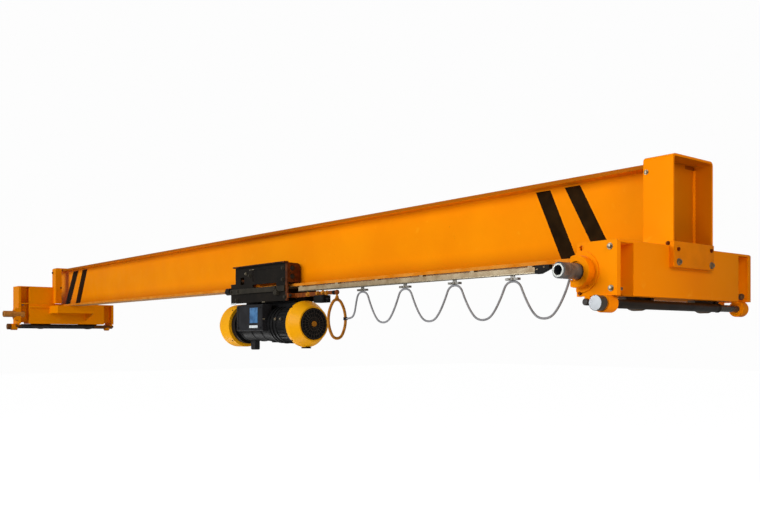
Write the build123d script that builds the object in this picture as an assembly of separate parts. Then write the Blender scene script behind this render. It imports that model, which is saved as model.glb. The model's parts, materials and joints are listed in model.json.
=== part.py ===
from build123d import *
import math
import os

# Millimetres, Z up. Origin: middle of the underside of the near end carriage.
# X runs along the girder, out past the near carriage. The viewed side faces -Y.

# Main girder, a rolled I-beam
SPAN = 7500.0
GIRDER_DEPTH = 400.0
FLANGE_WIDTH = 150.0
FLANGE_T = 18.0
WEB_T = 10.0
ROOT_R = 14.0
GIRDER_BOTTOM = 192.0
GIRDER_TOP = GIRDER_BOTTOM + GIRDER_DEPTH

# End carriages
CARRIAGE_W = 194.0
CARRIAGE_H = 219.0
CARRIAGE_L = 1036.0
SIDE_PLATE_L = 816.0
SIDE_PLATE_T = 10.0
TOP_PLATE_T = 10.0
BOTTOM_PLATE_T = 8.0
BAY_WEB_T = 10.0
BAY_WEB_FOOT = 14.0
END_PLATE_T = 12.0
END_FLANGE = 24.0
END_CORNER_R = 9.0
END_RIM = 8.0
MISSING_BOLT_D = 22.0
MISSING_BOLT_U = -73.0
MISSING_BOLT_Z = 196.0
UPPER_BOX_TOP = 398.0

# Clearance of a bar in its bore, and the size of blocks that only cut
BORE_GAP = 0.4
CUT_REACH = 1000.0

# Travel wheels inside the carriages
WHEEL_R = 125.0
WHEEL_W = 40.0
WHEEL_U = 10.0
WHEEL_END_GAP = 15.0
WHEEL_Y = SIDE_PLATE_L / 2 - SIDE_PLATE_T - WHEEL_END_GAP - WHEEL_R
WHEEL_FOOT = 55.0
WHEEL_SLOT_L = 127.0
WHEEL_AXLE_R = 24.0
WHEEL_SLOT_GAP = 10.0

# Buffer: round boss and steel tube on the front end plate
BUFFER_U = -72.0
BUFFER_Z = 100.0
BOSS_R = 66.0
BOSS_BASE_R = 84.0
BOSS_BASE_T = 5.0
BOSS_L = 42.0
BOSS_MOUTH = 12.0
TUBE_R = 33.0
TUBE_BORE_R = 20.5
TUBE_BORE_L = 120.0
TUBE_TIP = 151.0
TUBE_TAIL_GAP = 50.0
TUBE_TAIL = (CARRIAGE_L - SIDE_PLATE_L) / 2 - TUBE_TAIL_GAP
TUBE_CHAMFER = 5.0
TUBE_GAP = 8.0

# Two guide rods under each carriage: a headed one in collars on the outer side,
# and a plain one under saddle lugs on the inner side
ROD_U = 50.0
ROD_Z = -31.0
ROD_R = 16.0
ROD_HEAD_R = 31.0
ROD_HEAD_OUT = 76.0
ROD_TAIL_OUT = 42.0
ROD_HEAD_Y = -CARRIAGE_L / 2 - ROD_HEAD_OUT
ROD_END_Y = CARRIAGE_L / 2 + ROD_TAIL_OUT
COLLAR_R = 37.0
FRONT_COLLAR_OUT = 37.0
FRONT_COLLAR_IN = 25.0
REAR_COLLAR_L = 46.0
FRONT_COLLAR = (-CARRIAGE_L / 2 - FRONT_COLLAR_OUT, -CARRIAGE_L / 2 + FRONT_COLLAR_IN)
REAR_COLLAR = (CARRIAGE_L / 2 - REAR_COLLAR_L, CARRIAGE_L / 2)
INNER_ROD_U = -46.0
INNER_ROD_Z = -23.0
INNER_ROD_R = 14.0
INNER_ROD_OUT = 14.0
INNER_LUG_W = 26.0

# Hoods over the girder ends, as X from the middle of each carriage
HOOD_HALF_W = 156.0
HOOD_T = 11.0
HOOD_CORNER_R = 20.0
HOOD_IN = -29.0
HOOD_OUT = 115.0
FAR_HOOD_IN = 59.0
FAR_HOOD_OUT = 165.0
HOOD_RETURN = 55.0
RETURN_T = 10.0
NEAR_DIAPHRAGM = 20.0
DIAPHRAGM_T = 10.0
GIRDER_END_CLEAR = 4.0

# Lip plate on the outer face of the near carriage
LIP_T = 23.0
LIP_BOTTOM = 127.0
LIP_TOP = 236.0

# Seat shelves under the girder ends
SHELF_L = 268.0
SHELF_HALF_W = 200.0
SHELF_H = 80.0
SHELF_T = 12.0
GUSSET_T = 10.0
GUSSET_DROP = 74.0

# Hoist trolley on the bottom flange
TROLLEY_LEFT = -3543.0
FOOT_LEFT = -3610.0
TROLLEY_RIGHT = -2845.0
CHEEK_Y = 110.0
CHEEK_T = 12.0
CHEEK_TOP = 363.0
CHEEK_STEP = 238.0
CHEEK_FOOT = 94.0
CHEEK_LIP = 24.0
PANEL_DEPTH = 5.0
PANEL = (-3300.0, -2905.0, 246.0, 326.0)
SLOT = (-3300.0, -2985.0, 198.0, 222.0)
OPENING = (-3470.0, -3417.0, 230.0, 282.0)
FRONT_BAR = (160.0, 199.0)
FRONT_BAR_T = 14.0
GUARD_REACH = 99.0
GUARD_BOTTOM = 220.0
GUARD_T = 10.0
GUARD_CORNER_R = 30.0
TREAD_GAP = 0.5
RUNNER_R = 45.0
RUNNER_W = 34.0
RUNNER_Y = 53.0
RUNNER_X = (-3480.0, -2905.0)
RUNNER_AXLE_R = 13.0
KNOB_R = 26.0
KNOB_L = 70.0
KNOB_Z = 186.0
TIE_T = 12.0
TIE_Z = 128.0
TIE_X = (-3480.0, -2905.0)
TIE_W = 90.0
TIE_LUG_HALF = 40.0
TIE_LUG_SINK = 20.0

# Hoist below the trolley, axis along X
HOIST_Z = -66.0
CAP_R = 159.0
CAP_FACE_R = 118.0
CAP_RING = 32.0
LEFT_CAP_RING = 131.0
CAP_BEVEL = 79.0
RIGHT_CAP = -2812.0
LEFT_CAP = -3580.0
BODY_R = 116.0
MOTOR_R = 127.0
MOTOR = (-3062.0, -2848.0)
LEFT_BAND = (LEFT_CAP, LEFT_CAP + 50.0, 136.0)
FLANGE_BAND = (MOTOR[0] - 30.0, MOTOR[0], 132.0)
RIGHT_BAND = (MOTOR[1], RIGHT_CAP, 146.0)
SUMP = (-3198.0, -3105.0, 21.0, -193.0)
GRILLE_R = 107.0
GRILLE_T = 6.0
GRILLE_HUB_R = 12.0
GRILLE_SLOTS = 24
BOX = (-3480.0, -3098.0, -162.0, -112.0, 78.0)
BOX_CORNER_R = 14.0
BOX_SIDE_R = 36.0
BOX_SINK = 30.0
OUTLET = (-3491.0, -3431.0, 21.0, -247.0)
OUTLET_CORNER_R = 14.0
LATCH = (-2822.0, -2765.0, 21.0, -233.0)
SEAT_GAP = 0.1

# Towing arm, junction box and cable hoop
ARM_Y = -60.0
ARM_ROOT = (TROLLEY_RIGHT, -2640.0, 114.0, 144.0)
ARM_ROOT_RISE = 3.0
ARM_TAPER = 40.0
ARM_FOOT_T = 12.0
ARM_FOOT_REACH = 40.0
ARM_TIP = -2358.0
ARM_W = 16.0
ARM_BAR_H = 24.0
ARM_BAR_Z = 132.0
ARM_BALL_R = 16.0
JUNCTION = (-2575.0, -2466.0, 30.0, 70.0, 118.0)
JUNCTION_LUG_IN = 30.0
HOOP_TOP = 84.0
HOOP_BOTTOM = -165.0
HOOP_HALF_W = 68.0
HOOP_END_R = 48.0
HOOP_NECK_R = 40.0
HOOP_BAR_R = 9.5
HOOP_STEM_R = 7.0
HOOP_CLAMP_Z = -37.0
HOOP_CLAMP = 20.0
CLAMP_Y = ARM_Y + HOOP_HALF_W

# Festoon: rail, carriers and cable
RAIL_Y = -60.0
RAIL_W = 28.0
RAIL_H = 30.0
RAIL_T = 2.5
RAIL_SLOT = 11.0
RAIL_LEFT = -2780.0
RAIL_RIGHT = -700.0
RAIL_DROP = 8.0
RAIL_LUGS = 6
RAIL_LUG_L = 30.0
STOP_L = 90.0
CARRIERS = (-2092.0, -1690.0, -1278.0, -856.0)
CARRIER_L = 84.0
CARRIER_W = 24.0
CARRIER_STEM_T = 5.0
CARRIER_ROLLER_H = 16.0
CARRIER_DROP = 14.0
CARRIER_H = 12.0
CABLE_D = 12.0
ANCHOR_X = -488.0
ANCHOR_L = 26.0


def block(x0, x1, y0, y1, z0, z1):
    return Pos((x0 + x1) / 2, (y0 + y1) / 2, (z0 + z1) / 2) * Box(x1 - x0, y1 - y0, z1 - z0)


def rod_x(x0, x1, y, z, r):
    return Pos((x0 + x1) / 2, y, z) * Rot(0, 90, 0) * Cylinder(r, x1 - x0)


def rod_y(y0, y1, x, z, r):
    return Pos(x, (y0 + y1) / 2, z) * Rot(90, 0, 0) * Cylinder(r, y1 - y0)


def turned_x(profile, y, z):
    # Solid of revolution about a line along X, from (x, radius) pairs
    wire = Polyline([(x, 0, r) for x, r in profile], close=True)
    shape = revolve(make_face(wire), Axis.X, 360)
    return Pos(0, y, z) * shape


def save(shape, node):
    solids = shape.solids()
    shape = solids[0] if len(solids) == 1 else Compound(solids)
    shape.label = node
    export_step(shape, f"parts/{node}.step")
    print(node, "solids", len(solids), "volume", round(sum(s.volume for s in solids)))


# Each end is drawn as the near one, then mirrored and moved for the far one
def at_far(shape):
    return Pos(-SPAN, 0, 0) * mirror(shape, about=Plane.YZ)


def moved_far(shape):
    return Pos(-SPAN, 0, 0) * shape


# Girder
def i_section():
    half = FLANGE_WIDTH / 2
    low = GIRDER_BOTTOM
    high = GIRDER_TOP
    web = WEB_T / 2
    points = [
        (-half, low), (half, low), (half, low + FLANGE_T), (web, low + FLANGE_T),
        (web, high - FLANGE_T), (half, high - FLANGE_T), (half, high), (-half, high),
        (-half, high - FLANGE_T), (-web, high - FLANGE_T), (-web, low + FLANGE_T),
        (-half, low + FLANGE_T),
    ]
    face = make_face(Plane.YZ * Polyline(points, close=True))
    return face


def girder():
    near_end = NEAR_DIAPHRAGM
    far_end = -SPAN - CARRIAGE_W / 2
    beam = extrude(Pos(far_end, 0, 0) * i_section(), near_end - far_end, dir=(1, 0, 0))
    roots = [
        e for e in beam.edges().filter_by(Axis.X)
        if abs(abs(e.center().Y) - WEB_T / 2) < 0.01
    ]
    beam = fillet(roots, ROOT_R)
    face = CARRIAGE_W / 2 + GIRDER_END_CLEAR
    wide = FLANGE_WIDTH
    beam -= block(-face, near_end + 1, -wide, wide, GIRDER_BOTTOM - 1, CARRIAGE_H)
    beam -= block(far_end - 1, -SPAN + face, -wide, wide, GIRDER_BOTTOM - 1, CARRIAGE_H)
    inner = HOOD_HALF_W - HOOD_T
    plate = block(near_end, near_end + DIAPHRAGM_T, -inner, inner, CARRIAGE_H, GIRDER_TOP)
    top = [e for e in plate.edges().filter_by(Axis.X) if e.center().Z > GIRDER_TOP - 1]
    return beam + chamfer(top, HOOD_CORNER_R - HOOD_T)


# Hood: bent plate over the end of the girder, with return strips at one end
def hood(x0, x1, return_x):
    half = HOOD_HALF_W
    top = GIRDER_TOP + HOOD_T
    outer = block(x0, x1, -half, half, CARRIAGE_H, top)
    corners = [e for e in outer.edges().filter_by(Axis.X) if e.center().Z > top - 1]
    outer = fillet(corners, HOOD_CORNER_R)
    inner = block(x0 - 5, x1 + 5, -half + HOOD_T, half - HOOD_T, 0, GIRDER_TOP)
    bends = [e for e in inner.edges().filter_by(Axis.X) if e.center().Z > GIRDER_TOP - 1]
    shell = outer - fillet(bends, HOOD_CORNER_R - HOOD_T)
    wall = half - HOOD_T
    for side in (-1, 1):
        y0, y1 = sorted((side * (wall + 1), side * (wall - HOOD_RETURN)))
        shell += block(return_x, return_x + RETURN_T, y0, y1, CARRIAGE_H, GIRDER_TOP + 1)
    return shell


def near_hood():
    lip = block(CARRIAGE_W / 2, HOOD_OUT + 5, -CUT_REACH, CUT_REACH, 0, LIP_TOP)
    return hood(HOOD_IN, HOOD_OUT, HOOD_IN) - lip


def far_hood():
    return moved_far(hood(FAR_HOOD_IN, FAR_HOOD_OUT, FAR_HOOD_OUT - RETURN_T))


def lip_plate():
    face = CARRIAGE_W / 2
    half = HOOD_HALF_W
    plate = block(face, face + LIP_T, -half, half, LIP_BOTTOM, LIP_TOP)
    edges = [e for e in plate.edges().filter_by(Axis.Y) if e.center().X > face + 1]
    low = [e for e in edges if e.center().Z < LIP_BOTTOM + 1]
    return chamfer(low, 3)


# Seat shelf with one gusset below it
def shelf():
    face = -CARRIAGE_W / 2
    tip = face - SHELF_L
    half = SHELF_HALF_W
    top = GIRDER_BOTTOM
    tray = block(tip, face, -half, half, top - SHELF_H, top)
    hollow = block(
        tip + SHELF_T, face - SHELF_T, -half + SHELF_T, half - SHELF_T, 0, top - SHELF_T
    )
    tray -= hollow
    low = top - SHELF_H
    wing = Polyline(
        [(face, 0, low), (face, 0, low - GUSSET_DROP), (tip + 30, 0, low)], close=True
    )
    gusset = extrude(make_face(wing), GUSSET_T / 2, both=True)
    gusset = Pos(0, half - GUSSET_T / 2, 0) * gusset
    return tray + gusset


# Carriage box: side plates, top and bottom plates, bulkheads and end bay webs
def carriage_box():
    half = CARRIAGE_W / 2
    end = CARRIAGE_L / 2
    bay = SIDE_PLATE_L / 2
    inner = end - END_PLATE_T
    core = half - SIDE_PLATE_T
    box = block(-half, half, -inner, inner, CARRIAGE_H - TOP_PLATE_T, CARRIAGE_H)
    for side in (-1, 1):
        x0, x1 = sorted((side * core, side * half))
        box += block(x0, x1, -bay, bay, 0, CARRIAGE_H - TOP_PLATE_T)
        y0, y1 = sorted((side * bay, side * (bay - SIDE_PLATE_T)))
        box += block(-core, core, y0, y1, BOTTOM_PLATE_T, CARRIAGE_H - TOP_PLATE_T)
        y0, y1 = sorted((side * bay, side * inner))
        web = BAY_WEB_T / 2
        box += block(-web, web, y0, y1, BAY_WEB_FOOT, CARRIAGE_H - TOP_PLATE_T)
    box += block(-core, core, -bay, bay, 0, BOTTOM_PLATE_T)
    for y in (-WHEEL_Y, WHEEL_Y):
        gap = WHEEL_SLOT_GAP
        reach = WHEEL_SLOT_L
        x0 = WHEEL_U - WHEEL_W / 2 - gap
        x1 = WHEEL_U + WHEEL_W / 2 + gap
        box -= block(x0, x1, y - reach, y + reach, -1, BOTTOM_PLATE_T)
        box += rod_x(-core, core, y, WHEEL_R - WHEEL_FOOT, WHEEL_AXLE_R)
    return box


def end_plate(sign, collar):
    half = CARRIAGE_W / 2
    end = CARRIAGE_L / 2
    y0, y1 = sorted((sign * end, sign * (end - END_FLANGE)))
    plate = block(-half, half, y0, y1, 0, CARRIAGE_H)
    edges = [
        e for e in plate.edges().filter_by(Axis.Y) if e.center().Z > CARRIAGE_H - 1
    ]
    plate = fillet(edges, END_CORNER_R)
    y0, y1 = sorted((sign * (end - END_PLATE_T), sign * (end - END_FLANGE - 5)))
    top = CARRIAGE_H - TOP_PLATE_T
    plate -= block(-half + END_RIM, half - END_RIM, y0, y1, -1, top)
    plate -= block(-half - 1, half + 1, y0, y1, top, CARRIAGE_H + 1)
    ring = rod_y(collar[0], collar[1], ROD_U, ROD_Z, COLLAR_R)
    ring -= block(-CUT_REACH, CUT_REACH, -CUT_REACH, CUT_REACH, 0, CARRIAGE_H)
    plate += ring
    plate -= rod_y(collar[0] - 5, collar[1] + 5, ROD_U, ROD_Z, ROD_R + BORE_GAP)
    wide = INNER_LUG_W / 2
    y0, y1 = sorted((sign * end, sign * (end - END_FLANGE)))
    plate += block(INNER_ROD_U - wide, INNER_ROD_U + wide, y0, y1, INNER_ROD_Z, 0)
    saddle = rod_y(y0 - 5, y1 + 5, INNER_ROD_U, INNER_ROD_Z, INNER_ROD_R + BORE_GAP)
    return plate - saddle


def front_end_plate():
    plate = end_plate(-1, FRONT_COLLAR)
    end = CARRIAGE_L / 2
    back = -end + END_FLANGE + 5
    plate -= rod_y(-end - 5, back, BUFFER_U, BUFFER_Z, TUBE_R + BORE_GAP)
    return plate - rod_y(-end - 5, back, MISSING_BOLT_U, MISSING_BOLT_Z, MISSING_BOLT_D / 2)


def buffer_boss():
    end = CARRIAGE_L / 2
    boss = rod_y(-end - BOSS_L, -end, BUFFER_U, BUFFER_Z, BOSS_R)
    boss = chamfer(boss.edges().filter_by(GeomType.CIRCLE).group_by(Axis.Y)[0], 3)
    boss += rod_y(-end - BOSS_BASE_T, -end, BUFFER_U, BUFFER_Z, BOSS_BASE_R)
    front = -end - BOSS_L
    boss -= rod_y(front - 5, -end + 5, BUFFER_U, BUFFER_Z, TUBE_R + BORE_GAP)
    boss -= rod_y(front - 5, front + BOSS_MOUTH, BUFFER_U, BUFFER_Z, TUBE_R + TUBE_GAP)
    side = CARRIAGE_W / 2
    return boss - block(-CUT_REACH, -side, -CUT_REACH, 0, -CUT_REACH, CUT_REACH)


def buffer_tube():
    end = CARRIAGE_L / 2
    tip = -end - TUBE_TIP
    tube = rod_y(tip, -end + TUBE_TAIL, BUFFER_U, BUFFER_Z, TUBE_R)
    tube = chamfer(tube.edges().filter_by(GeomType.CIRCLE).group_by(Axis.Y)[0], TUBE_CHAMFER)
    return tube - rod_y(tip - 5, tip + TUBE_BORE_L, BUFFER_U, BUFFER_Z, TUBE_BORE_R)


def lower_rod():
    rod = rod_y(FRONT_COLLAR[0] - 1, ROD_END_Y, ROD_U, ROD_Z, ROD_R)
    rod = chamfer(rod.edges().filter_by(GeomType.CIRCLE).group_by(Axis.Y)[-1], 3)
    head = rod_y(ROD_HEAD_Y, FRONT_COLLAR[0], ROD_U, ROD_Z, ROD_HEAD_R)
    head = chamfer(head.edges().filter_by(GeomType.CIRCLE).group_by(Axis.Y)[0], 2)
    return rod + head


def inner_rod():
    end = CARRIAGE_L / 2 + INNER_ROD_OUT
    rod = rod_y(-end, end, INNER_ROD_U, INNER_ROD_Z, INNER_ROD_R)
    return chamfer(rod.edges().filter_by(GeomType.CIRCLE), 2)


def travel_wheel(y):
    z = WHEEL_R - WHEEL_FOOT
    half = WHEEL_W / 2
    x0 = WHEEL_U - half
    x1 = WHEEL_U + half
    wheel = turned_x(
        [
            (x0, WHEEL_AXLE_R + 0.4), (x1, WHEEL_AXLE_R + 0.4), (x1, WHEEL_R - 4),
            (x1 - 4, WHEEL_R), (x0 + 4, WHEEL_R), (x0, WHEEL_R - 4),
        ],
        y, z,
    )
    for a, b in ((x0 - 1, x0 + 8), (x1 - 8, x1 + 1)):
        wheel -= rod_x(a, b, y, z, WHEEL_R - 22) - rod_x(a, b, y, z, WHEEL_AXLE_R + 22)
    return wheel


# Taller box on the front half of the far carriage
def upper_box():
    half = CARRIAGE_W / 2
    end = CARRIAGE_L / 2 - END_PLATE_T
    bay = SIDE_PLATE_L / 2
    core = half - SIDE_PLATE_T
    stop = HOOD_HALF_W
    top = UPPER_BOX_TOP
    box = block(-half, half, -end, -stop, top - TOP_PLATE_T, top)
    for side in (-1, 1):
        x0, x1 = sorted((side * core, side * half))
        box += block(x0, x1, -bay, -stop, CARRIAGE_H, top - TOP_PLATE_T)
    box += block(-core, core, -bay, -bay + SIDE_PLATE_T, CARRIAGE_H, top - TOP_PLATE_T)
    box += block(-core, core, -stop - SIDE_PLATE_T, -stop, CARRIAGE_H, top - TOP_PLATE_T)
    web = BAY_WEB_T / 2
    box += block(-web, web, -end, -bay, CARRIAGE_H, top - TOP_PLATE_T)
    return box


def upper_end_plate():
    half = CARRIAGE_W / 2
    end = CARRIAGE_L / 2
    top = UPPER_BOX_TOP
    plate = block(-half, half, -end, -end + END_FLANGE, CARRIAGE_H, top)
    edges = [e for e in plate.edges().filter_by(Axis.Y) if e.center().Z > top - 1]
    plate = fillet(edges, END_CORNER_R)
    y0 = -end + END_PLATE_T
    y1 = -end + END_FLANGE + 5
    plate -= block(-half + END_RIM, half - END_RIM, y0, y1, 0, top - TOP_PLATE_T)
    plate -= block(-half - 1, half + 1, y0, y1, top - TOP_PLATE_T, top + 1)
    return plate


# Trolley cheeks with wheel guards across their ends
def cheek(sign):
    inner = sign * CHEEK_Y
    outer = sign * (CHEEK_Y + CHEEK_T)
    y0, y1 = sorted((inner, outer))
    plate = block(TROLLEY_LEFT, TROLLEY_RIGHT, y0, y1, CHEEK_FOOT, CHEEK_TOP)
    plate += block(FOOT_LEFT, TROLLEY_LEFT, y0, y1, CHEEK_FOOT, CHEEK_STEP)
    x0, x1, z0, z1 = OPENING
    plate -= block(x0, x1, y0 - 5, y1 + 5, z0, z1)
    x0, x1, z0, z1 = SLOT
    plate -= block(x0, x1, y0 - 5, y1 + 5, z0, z1)
    x0, x1, z0, z1 = PANEL
    a, b = sorted((outer - sign * PANEL_DEPTH, outer + sign * 5))
    plate -= block(x0, x1, a, b, z0, z1)
    a, b = sorted((outer, outer + sign * CHEEK_LIP))
    plate += block(TROLLEY_LEFT, TROLLEY_RIGHT, a, b, CHEEK_TOP - 10, CHEEK_TOP)
    reach = sign * (CHEEK_Y - GUARD_REACH)
    a, b = sorted((inner, reach))
    for x in (TROLLEY_LEFT, TROLLEY_RIGHT - GUARD_T):
        guard = block(x, x + GUARD_T, a, b, GUARD_BOTTOM, CHEEK_TOP - 9)
        near_web = [
            e for e in guard.edges().filter_by(Axis.X)
            if e.center().Z > CHEEK_TOP - 12 and abs(e.center().Y - reach) < 0.1
        ]
        plate += fillet(near_web, GUARD_CORNER_R)
    return plate


def front_bar():
    y = -CHEEK_Y - CHEEK_T
    z0, z1 = FRONT_BAR
    bar = block(FOOT_LEFT + 8, TROLLEY_RIGHT - 22, y - FRONT_BAR_T, y, z0, z1)
    return chamfer(bar.edges().filter_by(Axis.X).group_by(Axis.Y)[0], 3)


def runner(x, sign):
    z = GIRDER_BOTTOM + FLANGE_T + TREAD_GAP + RUNNER_R
    half = RUNNER_W / 2
    y = sign * RUNNER_Y
    wheel = rod_y(y - half, y + half, x, z, RUNNER_R)
    wheel = chamfer(wheel.edges().filter_by(GeomType.CIRCLE), 2)
    a, b = sorted((y + sign * (half - 1), sign * CHEEK_Y))
    wheel += rod_y(a, b, x, z, RUNNER_AXLE_R)
    return wheel


def knob(sign):
    # Rubber buffer on the left end of each cheek
    y = sign * (CHEEK_Y + CHEEK_T / 2)
    x = FOOT_LEFT
    profile = [(x - KNOB_L, 0), (x, 0), (x, KNOB_R), (x - KNOB_L + 12, KNOB_R)]
    profile.append((x - KNOB_L, KNOB_R - 12))
    return turned_x(profile, y, KNOB_Z)


def tie(x):
    # Cross plate and hanger lug between the cheeks, over the hoist
    half = TIE_W / 2
    wide = TIE_LUG_HALF
    seat = MOTOR_R if x > MOTOR[0] else BODY_R
    plate = block(x - half, x + half, -CHEEK_Y, CHEEK_Y, TIE_Z, TIE_Z + TIE_T)
    lug = block(x - half, x + half, -wide, wide, HOIST_Z + seat - TIE_LUG_SINK, TIE_Z)
    return plate + lug - rod_x(x - TIE_W, x + TIE_W, 0, HOIST_Z, seat + SEAT_GAP)


# Hoist body with bands and a finned motor
def hoist_body():
    body = rod_x(LEFT_CAP, RIGHT_CAP, 0, HOIST_Z, BODY_R)
    for x0, x1, r in (LEFT_BAND, FLANGE_BAND, RIGHT_BAND):
        body += rod_x(x0, x1, 0, HOIST_Z, r)
    body += rod_x(MOTOR[0], MOTOR[1], 0, HOIST_Z, MOTOR_R)
    x0, x1, half, z0 = SUMP
    return body + block(x0, x1, -half, half, z0, HOIST_Z)


def cap(x, sign):
    ring = x + sign * CAP_RING
    face = ring + sign * CAP_BEVEL
    profile = [
        (x, 0), (face - sign * GRILLE_T, 0), (face - sign * GRILLE_T, GRILLE_R + 0.5),
        (face, GRILLE_R + 0.5), (face, CAP_FACE_R), (ring, CAP_R), (x, CAP_R),
    ]
    return turned_x(profile, 0, HOIST_Z)


def blank_cap(x, sign):
    ring = x + sign * LEFT_CAP_RING
    face = ring + sign * CAP_BEVEL
    return turned_x([(x, 0), (face, 0), (face, CAP_FACE_R), (ring, CAP_R), (x, CAP_R)], 0, HOIST_Z)


# Fan grille: ring, rings of slots and a hub
def grille():
    face = RIGHT_CAP + CAP_RING + CAP_BEVEL
    back = face - GRILLE_T
    disc = rod_x(back, face, 0, HOIST_Z, GRILLE_R)
    hub = rod_x(face, face + 5, 0, HOIST_Z, GRILLE_HUB_R)
    for k in range(GRILLE_SLOTS):
        angle = 360 / GRILLE_SLOTS * k
        cut = block(face - 4, face + 1, -2.4, 2.4, 26, GRILLE_R - 12)
        disc -= Pos(0, 0, HOIST_Z) * Rot(angle, 0, 0) * cut
    return disc + hub


def control_box():
    x0, x1, y0, z0, z1 = BOX
    shell = block(x0, x1, y0, -BODY_R + BOX_SINK, z0, z1)
    side = shell.edges().filter_by(Axis.Z).group_by(Axis.Y)[0].sort_by(Axis.X)[0]
    shell = fillet(side, BOX_SIDE_R)
    edges = shell.edges().filter_by(Axis.X).group_by(Axis.Y)[0]
    shell = fillet(edges, BOX_CORNER_R)
    return shell - rod_x(x0 - 5, x1 + 5, 0, HOIST_Z, BODY_R + SEAT_GAP)


def outlet():
    x0, x1, half, z0 = OUTLET
    stub = block(x0, x1, -half, half, z0, HOIST_Z)
    edges = stub.edges().filter_by(Axis.Y).group_by(Axis.Z)[0]
    stub = fillet(edges, OUTLET_CORNER_R)
    stub -= rod_x(x0 - 5, x1 + 5, 0, HOIST_Z, BODY_R + SEAT_GAP)
    return max(stub.solids(), key=lambda s: s.volume)


def latch():
    x0, x1, half, z0 = LATCH
    piece = block(x0, x1, -half, half, z0, HOIST_Z)
    piece -= cap(RIGHT_CAP, 1)
    piece -= rod_x(x0 - 5, x1 + 5, 0, HOIST_Z, CAP_R + SEAT_GAP)
    return max(piece.solids(), key=lambda s: s.volume)


# Towing arm with a ball end
def towing_arm():
    x0, x1, z0, z1 = ARM_ROOT
    half = ARM_W / 2
    low = ARM_BAR_Z - ARM_BAR_H / 2
    high = ARM_BAR_Z + ARM_BAR_H / 2
    x2 = x1 + ARM_TAPER
    root = Polyline(
        [
            (x0, ARM_Y, z0), (x1, ARM_Y, z0 + ARM_ROOT_RISE), (x2, ARM_Y, low),
            (x2, ARM_Y, high), (x0, ARM_Y, z1),
        ],
        close=True,
    )
    arm = extrude(make_face(root), half, both=True)
    arm += block(x2 - 1, ARM_TIP, ARM_Y - half, ARM_Y + half, low, high)
    arm += Pos(ARM_TIP, ARM_Y, ARM_BAR_Z) * Sphere(ARM_BALL_R)
    outer = -CHEEK_Y - CHEEK_T
    return arm + block(x0, x0 + ARM_FOOT_T, outer, ARM_Y + ARM_FOOT_REACH, z0, z1)


def junction_box():
    x0, x1, half, z0, z1 = JUNCTION
    top = ARM_BAR_Z - ARM_BAR_H / 2
    box = block(x0, x1, ARM_Y - half, ARM_Y + half, z0, z1)
    box = fillet(box.edges().filter_by(Axis.Z), 6)
    x0 += JUNCTION_LUG_IN
    x1 -= JUNCTION_LUG_IN
    lug = block(x0, x1, ARM_Y - ARM_W / 2, ARM_Y + ARM_W / 2, z1, top)
    return box + lug


def side_arcs():
    # Radius and height of the side arcs that touch both end arcs and are widest
    # at HOOP_HALF_W, from the quadratic that the two tangencies give
    low = HOOP_BOTTOM + HOOP_END_R
    high = HOOP_TOP - HOOP_NECK_R
    run = high - low
    slope = (HOOP_NECK_R - HOOP_END_R) / run
    base = ((HOOP_END_R**2 - HOOP_NECK_R**2) / run + high - low) / 2
    a = slope**2
    b = 2 * (base * slope - HOOP_HALF_W + HOOP_END_R)
    c = HOOP_HALF_W**2 + base**2 - HOOP_END_R**2
    side_r = (-b - math.sqrt(b**2 - 4 * a * c)) / (2 * a)
    return side_r, low + base + slope * side_r


def hoop_path():
    # Teardrop of four tangent arcs in the plane across the girder, narrow end up
    low = HOOP_BOTTOM + HOOP_END_R
    high = HOOP_TOP - HOOP_NECK_R
    side_r, mid = side_arcs()
    inset = side_r - HOOP_HALF_W
    up = math.degrees(math.atan2(high - mid, inset))
    down = math.degrees(math.atan2(mid - low, inset))
    arcs = [
        CenterArc((-inset, mid), side_r, -down, up + down),
        CenterArc((0, high), HOOP_NECK_R, up, 180 - 2 * up),
        CenterArc((inset, mid), side_r, 180 - up, up + down),
        CenterArc((0, low), HOOP_END_R, 180 + down, 180 - 2 * down),
    ]
    plane = Plane(origin=(ARM_TIP, ARM_Y, 0), x_dir=(0, 1, 0), z_dir=(1, 0, 0))
    return plane * Wire(arcs)


def hoop():
    path = hoop_path()
    section = Plane(origin=path @ 0, z_dir=path % 0) * Circle(HOOP_BAR_R)
    ring = sweep(section, path=path)
    stem = Pos(ARM_TIP, ARM_Y, (HOOP_TOP + ARM_BAR_Z) / 2) * Cylinder(
        HOOP_STEM_R, ARM_BAR_Z - HOOP_TOP
    )
    ring += stem
    return ring - Pos(ARM_TIP, ARM_Y, ARM_BAR_Z) * Sphere(ARM_BALL_R + SEAT_GAP)


# Festoon rail: a channel open below, hung from lugs under the flange
def rail():
    half = RAIL_W / 2
    top = GIRDER_BOTTOM - RAIL_DROP
    low = top - RAIL_H
    bar = block(RAIL_LEFT, RAIL_RIGHT, RAIL_Y - half, RAIL_Y + half, low, top)
    t = RAIL_T
    bar -= block(
        RAIL_LEFT - 5, RAIL_RIGHT + 5, RAIL_Y - half + t, RAIL_Y + half - t, low + t, top - t
    )
    slot = RAIL_SLOT / 2
    bar -= block(RAIL_LEFT - 5, RAIL_RIGHT + 5, RAIL_Y - slot, RAIL_Y + slot, low - 5, low + t)
    reach = RAIL_LUG_L / 2
    pitch = (RAIL_RIGHT - RAIL_LEFT - 2 * RAIL_LUG_L) / (RAIL_LUGS - 1)
    for k in range(RAIL_LUGS):
        x = RAIL_LEFT + RAIL_LUG_L + k * pitch
        bar += block(x - reach, x + reach, RAIL_Y - half, RAIL_Y + half, top, GIRDER_BOTTOM)
    return bar


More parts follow.
